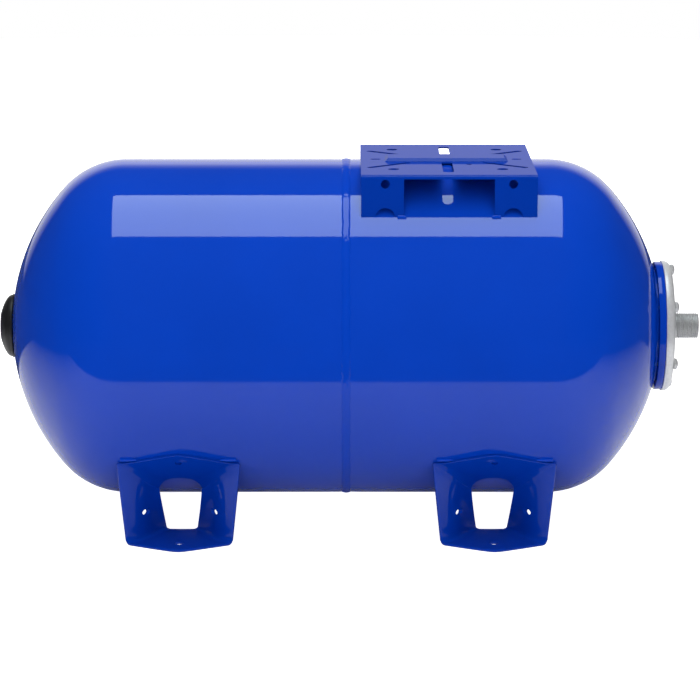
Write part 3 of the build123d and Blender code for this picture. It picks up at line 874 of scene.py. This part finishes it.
def rounded_frame(half_low, half_high, corner, top_corner, count):
    """Points (x, b) round a four-sided frame, b from 0 at the floor to 1 at the saddle."""
    points = []
    low, high = corner / SIDE_HEIGHT, top_corner / SIDE_HEIGHT

    def side_half(b):
        """Half the frame's width at a height."""
        return half_low + (half_high - half_low) * b

    def quarter(cx, cb, rx, rb, start):
        """Rounds one corner."""
        for i in range(1, 8):
            angle = math.radians(start + 90 * i / 8)
            points.append((cx + rx * math.cos(angle), cb + rb * math.sin(angle)))

    for i in range(count + 1):
        points.append((-(half_low - corner) + 2 * (half_low - corner) * i / count, 0.0))
    quarter(half_low - corner, low, corner, low, -90)
    for i in range(count + 1):
        b = low + (1 - low - high) * i / count
        points.append((side_half(b), b))
    quarter(half_high - top_corner, 1 - high, top_corner, high, 0)
    for i in range(count + 1):
        points.append(((half_high - top_corner) * (1 - 2 * i / count), 1.0))
    quarter(-(half_high - top_corner), 1 - high, top_corner, high, 90)
    for i in range(count + 1):
        b = 1 - high - (1 - low - high) * i / count
        points.append((-side_half(b), b))
    quarter(-(half_low - corner), low, corner, low, 180)
    return points


def rim_y(x, b):
    """How far out the foot's rim reaches: pointed at the sole and at the saddle."""
    across = min(1.0, abs(x) / FOOT_BASE_HALF)
    tip = 1 - math.sqrt(across**2 + 0.012)
    sole = FOOT_CORNER_Y + (FOOT_TIP_Y - FOOT_CORNER_Y) * max(0.0, tip + 0.008) * 1.05
    saddle = FOOT_CORNER_Y + (SADDLE_TIP_Y - FOOT_CORNER_Y) * max(0.0, tip)
    side = FOOT_CORNER_Y - 1.5 * MM
    low = max(0.0, 1 - b / 0.12)
    high = max(0.0, 1 - (1 - b) / 0.12)
    return side + (sole - side) * low + (saddle - side) * high


def window_y(x, b):
    """How far out the inner window's edge lies, with the arch in the saddle."""
    straight = WINDOW_Y + (SADDLE_INNER_Y - WINDOW_Y) * b**1.6
    high = max(0.0, 1 - (1 - b) / 0.3)
    arch = (SADDLE_ARCH_Y - SADDLE_INNER_Y) * max(0.0, 1 - (x / WINDOW_TOP_HALF) ** 2)
    return straight + arch * high


def foot_mesh(name):
    """One pressed foot at X = 0, opening towards -Y."""
    count, rows = 22, 26
    rim = rounded_frame(FOOT_BASE_HALF, FOOT_TOP_HALF, 5 * MM, 4 * MM, count)
    window = rounded_frame(WINDOW_BASE_HALF, WINDOW_TOP_HALF, 7 * MM, 12 * MM, count)
    mesh = bpy.data.meshes.new(name)
    shape = bmesh.new()
    grid = []
    for row in range(rows + 1):
        u = row / rows
        line = []
        for (x0, b0), (x1, b1) in zip(rim, window):
            swell = math.sin(math.pi * u) * (1 - u)
            steep = u + BULGE * swell
            x = x0 + (x1 - x0) * steep
            b = b0 + (b1 - b0) * u
            outer_y, inner_y = rim_y(x0, b0), window_y(x1, b1)
            y = outer_y + (inner_y - outer_y) * (u - SAG * swell)
            corner = (abs(x0) / FOOT_TOP_HALF * b0) ** CREASE_SHARPNESS
            y += CREASE_RISE * min(1.0, corner) * math.sin(math.pi * u)
            on_shell = SHELL_R + FOOT_SHEET / 2
            ceiling = AXIS_Z - math.sqrt(max(on_shell**2 - y * y, 0.0001))
            z = FOOT_SHEET / 2 + (ceiling - FOOT_SHEET / 2) * b
            line.append(shape.verts.new((x, -y, z)))
        grid.append(line)
    around = len(rim)
    for row in range(rows):
        for i in range(around):
            j = (i + 1) % around
            shape.faces.new((grid[row][i], grid[row][j], grid[row + 1][j], grid[row + 1][i]))
    bmesh.ops.recalc_face_normals(shape, faces=shape.faces)
    shape.to_mesh(mesh)
    shape.free()
    obj = bpy.data.objects.new(name, mesh)
    bpy.context.scene.collection.objects.link(obj)
    apply_modifier(obj, "SOLIDIFY", thickness=FOOT_SHEET, offset=0, use_even_offset=True)
    apply_modifier(obj, "BEVEL", width=0.9 * MM, segments=2, limit_method="ANGLE",
                   angle_limit=math.radians(60))
    return obj


def punch(radius, depth, location, rotation):
    """A round punch for the holes in pressed sheet."""
    deselect()
    bpy.ops.mesh.primitive_cylinder_add(
        vertices=40, radius=radius, depth=depth, location=location, rotation=rotation)
    return bpy.context.object


class VESSEL_OT_feet(bpy.types.Operator):
    """Presses one foot from sheet, punches its holes and copies it four times."""

    bl_idname = "vessel.feet"
    bl_label = "Pressed feet"

    def execute(self, context):
        master = foot_mesh("foot")
        cut(master, punch(FLOOR_HOLE_R, 20 * MM, (0, -FLOOR_HOLE_Y, 0), (0, 0, 0)))
        y = SADDLE_TIP_Y - SADDLE_HOLE_INSET
        tilt = math.asin(y / SHELL_R)
        z = AXIS_Z - math.sqrt(SHELL_R**2 - y * y)
        cut(master, punch(SMALL_HOLE_R, 20 * MM, (0, -y, z), (-tilt, 0, 0)))
        for side in (-1, 1):
            place = (side * SIDE_HOLE_X, -SIDE_HOLE_Y, SIDE_HOLE_Z)
            cut(master, punch(SMALL_HOLE_R, 30 * MM, place, (0, math.pi / 2, -side * 0.5)))
        for end, x in (("left", -abs(FOOT_X)), ("right", abs(FOOT_X))):
            for row, flip in (("front", 1), ("rear", -1)):
                foot = bpy.data.objects.new("foot", master.data.copy())
                context.scene.collection.objects.link(foot)
                mirror = Matrix.Diagonal((1, flip, 1, 1))
                foot.data.transform(Matrix.Translation((x, 0, 0)) @ mirror)
                if flip < 0:
                    foot.data.flip_normals()
                settle(foot, f"pressed_foot_{row}_{end}", 30)
                wear(foot, material("sheet"))
                stand_for(foot, "root", "tank_paint", f"foot_{row}_{end}")
        bpy.data.objects.remove(master, do_unlink=True)
        return {"FINISHED"}


# ================================ bracket and small nodes ========================
class VESSEL_OT_bracket(bpy.types.Operator):
    """Softens the edges of the pressed pump bracket."""

    bl_idname = "vessel.bracket"
    bl_label = "Pump bracket"

    def execute(self, context):
        bracket = copy_of_node("pump_bracket", "bracket")
        apply_modifier(bracket, "BEVEL", width=0.5 * MM, segments=2, limit_method="ANGLE",
                       angle_limit=math.radians(35))
        settle(bracket, "pressed_pump_bracket", 32)
        apply_modifier(bracket, "WEIGHTED_NORMAL", weight=100, keep_sharp=True)
        wear(bracket, material("bracket"))
        stand_for(bracket, "root", "tank_paint", "pump_bracket")
        return {"FINISHED"}


class VESSEL_OT_small_parts(bpy.types.Operator):
    """Gives the welds, the bladder and the air valve's parts their materials."""

    bl_idname = "vessel.small_parts"
    bl_label = "Small parts"

    def execute(self, context):
        kept = {
            "foot_welds": "weld", "bracket_welds": "weld", "bladder": "rubber",
            "valve_boss": "sheet", "valve_body": "brass", "valve_core": "brass", "valve_pin": "pin",
            "valve_core_seal": "rubber", "dust_cap_seal": "rubber", "dust_cap": "black",
        }
        for node, finish in kept.items():
            wear(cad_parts[node], material(finish))

        spring = copy_of_node("valve_core_spring", "spring")
        settle(spring, "valve_spring", 40)
        wear(spring, material("pin"))
        stand_for(spring, "root", "pin_steel", "valve_core_spring")
        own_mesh(spring)
        return {"FINISHED"}


# ================================ stage ==========================================
def area_light(name, size_x, size_y, location, aim, power):
    """A soft rectangular light that the camera doesn't see."""
    data = bpy.data.lights.new(name, "AREA")
    data.shape = "RECTANGLE"
    data.size = size_x
    data.size_y = size_y
    data.energy = power
    light = bpy.data.objects.new(name, data)
    light.location = location
    light.rotation_euler = (Vector(aim) - Vector(location)).to_track_quat("-Z", "Y").to_euler()
    light.visible_camera = False
    bpy.context.scene.collection.objects.link(light)
    return light


PALE = (0.8, 0.8, 0.8)
# colour of the painted dark room that the far floor shows in reflections
DARK_MIRRORED = (0.03, 0.04, 0.07)
SOFTBOX_X, SOFTBOX_Y, SOFTBOX_Z = 0.02, -0.06, 1.66
AIM_Z = 0.3
CENTRE_X = 16.9 * MM
DROOP = math.radians(0.484)


def pale_floor(stage):
    """The floor, which glows for the camera and is painted dark far off in reflections: a painted
    dark room that only glossy rays see.
    """
    deselect()
    bpy.ops.mesh.primitive_circle_add(
        vertices=128, radius=6, fill_type="NGON", location=(0, 0, -0.2 * MM))
    floor = bpy.context.object
    floor.name = "studio_floor"
    pale, tree, shader = new_material("pale_floor", PALE, 0.8)
    shader.inputs["Specular IOR Level"].default_value = 0.2
    place = split_xyz(tree, object_place(tree))
    far = map_range(tree, math_node(tree, "ABSOLUTE", place["Y"]), 0.62, 0.67, 0.0, 1.0)
    aside = map_range(tree, math_node(tree, "ABSOLUTE", place["X"]), 0.7, 1.7, 0.0, 1.0)
    far = math_node(tree, "MAXIMUM", far, aside)
    path = tree.nodes.new("ShaderNodeLightPath")
    # Glossy rays see the far floor painted dark: a painted reflection of a dark room.
    painted_dark_reflection = math_node(tree, "MULTIPLY", far, path.outputs["Is Glossy Ray"])
    tint(tree, shader, PALE, DARK_MIRRORED, painted_dark_reflection)
    glow = map_range(tree, path.outputs["Is Camera Ray"], 0.0, 1.0, 0.0, stage.floor_glow)
    shader.inputs["Emission Color"].default_value = (1, 1, 1, 1)
    tree.links.new(glow, shader.inputs["Emission Strength"])
    wear(floor, pale)


def studio_world(scene, stage):
    """Soft light from all round, and a darker room for reflections."""
    world = bpy.data.worlds.new("studio")
    scene.world = world
    world.use_nodes = True
    tree = world.node_tree
    background = tree.nodes["Background"]
    way = split_xyz(tree, tree.nodes.new("ShaderNodeTexCoord").outputs["Generated"])
    sides = map_range(tree, math_node(tree, "ABSOLUTE", way["X"]), 0.0, 0.62, stage.room, 0.0)
    room = math_node(tree, "MULTIPLY", sides, map_range(tree, way["Z"], -0.5, 1.0, 0.88, 1.72))
    low = map_range(tree, way["Z"], 0.34, 0.57, 1.0, 0.0)
    behind = map_range(tree, way["Y"], 0.82, 0.94, 0.0, 0.9)
    mirrored = math_node(tree, "ADD", math_node(tree, "MULTIPLY", low, behind), 0.03)
    path = tree.nodes.new("ShaderNodeLightPath")
    strength = mix_value(tree, path.outputs["Is Glossy Ray"], room, mirrored)
    strength = mix_value(tree, path.outputs["Is Camera Ray"], strength, 1.0)
    background.inputs["Color"].default_value = (1, 1, 1, 1)
    tree.links.new(strength, background.inputs["Strength"])


def studio_camera(scene, stage):
    """The camera, level with the front and a little above the tank axis."""
    data = bpy.data.cameras.new("studio_camera")
    camera = bpy.data.objects.new("studio_camera", data)
    scene.collection.objects.link(camera)
    scene.camera = camera
    data.lens = stage.lens
    data.sensor_width = 36
    tilt = stage.elevation
    camera.location = (
        CENTRE_X,
        -stage.distance * math.cos(tilt),
        AXIS_Z + stage.distance * math.sin(tilt))
    camera.rotation_euler = (math.pi / 2 - tilt - DROOP, 0, 0)
    data.clip_end = 100


class VESSEL_OT_stage(bpy.types.Operator):
    """Makes the pale floor, the studio lights, the surroundings and the camera."""

    bl_idname = "vessel.stage"
    bl_label = "Stage"

    def execute(self, context):
        scene = context.scene
        stage = scene.vessel_stage
        pale_floor(stage)
        studio_world(scene, stage)
        box = area_light(
            "long_softbox", 1.05, 0.90, (SOFTBOX_X, SOFTBOX_Y, SOFTBOX_Z),
            (SOFTBOX_X, SOFTBOX_Y, AIM_Z), stage.softbox)
        box.data.color = (0.8, 0.97, 1.0)
        box.visible_diffuse = False
        studio_camera(scene, stage)
        scene.view_settings.view_transform = "Standard"
        return {"FINISHED"}


# ================================ panel and run ==================================
STEPS = (
    ("shell", "Tank shell"), ("seam", "Seam weld"), ("water_end", "Water flange"),
    ("bolts", "Flange bolts"), ("nipple", "Water nipple"), ("valve_cover", "Valve cover"),
    ("feet", "Pressed feet"), ("bracket", "Pump bracket"), ("small_parts", "Small parts"),
    ("stage", "Stage"),
)


class VESSEL_PT_panel(bpy.types.Panel):
    """Lists the vessel's settings and building steps."""

    bl_idname = "VESSEL_PT_panel"
    bl_label = "Bladder vessel"
    bl_space_type = "VIEW_3D"
    bl_region_type = "UI"
    bl_category = "Vessel"

    def draw(self, context):
        scene = context.scene
        for group in (scene.vessel_paint, scene.vessel_shape, scene.vessel_stage):
            for label in group.bl_rna.properties.keys():
                if label not in ("rna_type", "name"):
                    self.layout.prop(group, label)
        for step, label in STEPS:
            self.layout.operator(f"vessel.{step}", text=label)


CLASSES = (
    VesselPaint, VesselShape, VesselStage, VESSEL_OT_shell, VESSEL_OT_seam, VESSEL_OT_water_end,
    VESSEL_OT_bolts, VESSEL_OT_nipple, VESSEL_OT_valve_cover, VESSEL_OT_feet, VESSEL_OT_bracket,
    VESSEL_OT_small_parts, VESSEL_OT_stage, VESSEL_PT_panel,
)


def register():
    """Registers the classes and hangs the settings on the scene."""
    for cls in CLASSES:
        bpy.utils.register_class(cls)
    bpy.types.Scene.vessel_paint = PointerProperty(type=VesselPaint)
    bpy.types.Scene.vessel_shape = PointerProperty(type=VesselShape)
    bpy.types.Scene.vessel_stage = PointerProperty(type=VesselStage)


def unregister():
    """Takes the settings and the classes away again."""
    for label in ("vessel_paint", "vessel_shape", "vessel_stage"):
        delattr(bpy.types.Scene, label)
    for cls in reversed(CLASSES):
        bpy.utils.unregister_class(cls)


def main():
    register()
    for step, _ in STEPS:
        getattr(bpy.ops.vessel, step)()
    bpy.context.view_layer.update()


if __name__ == "__main__":
    main()
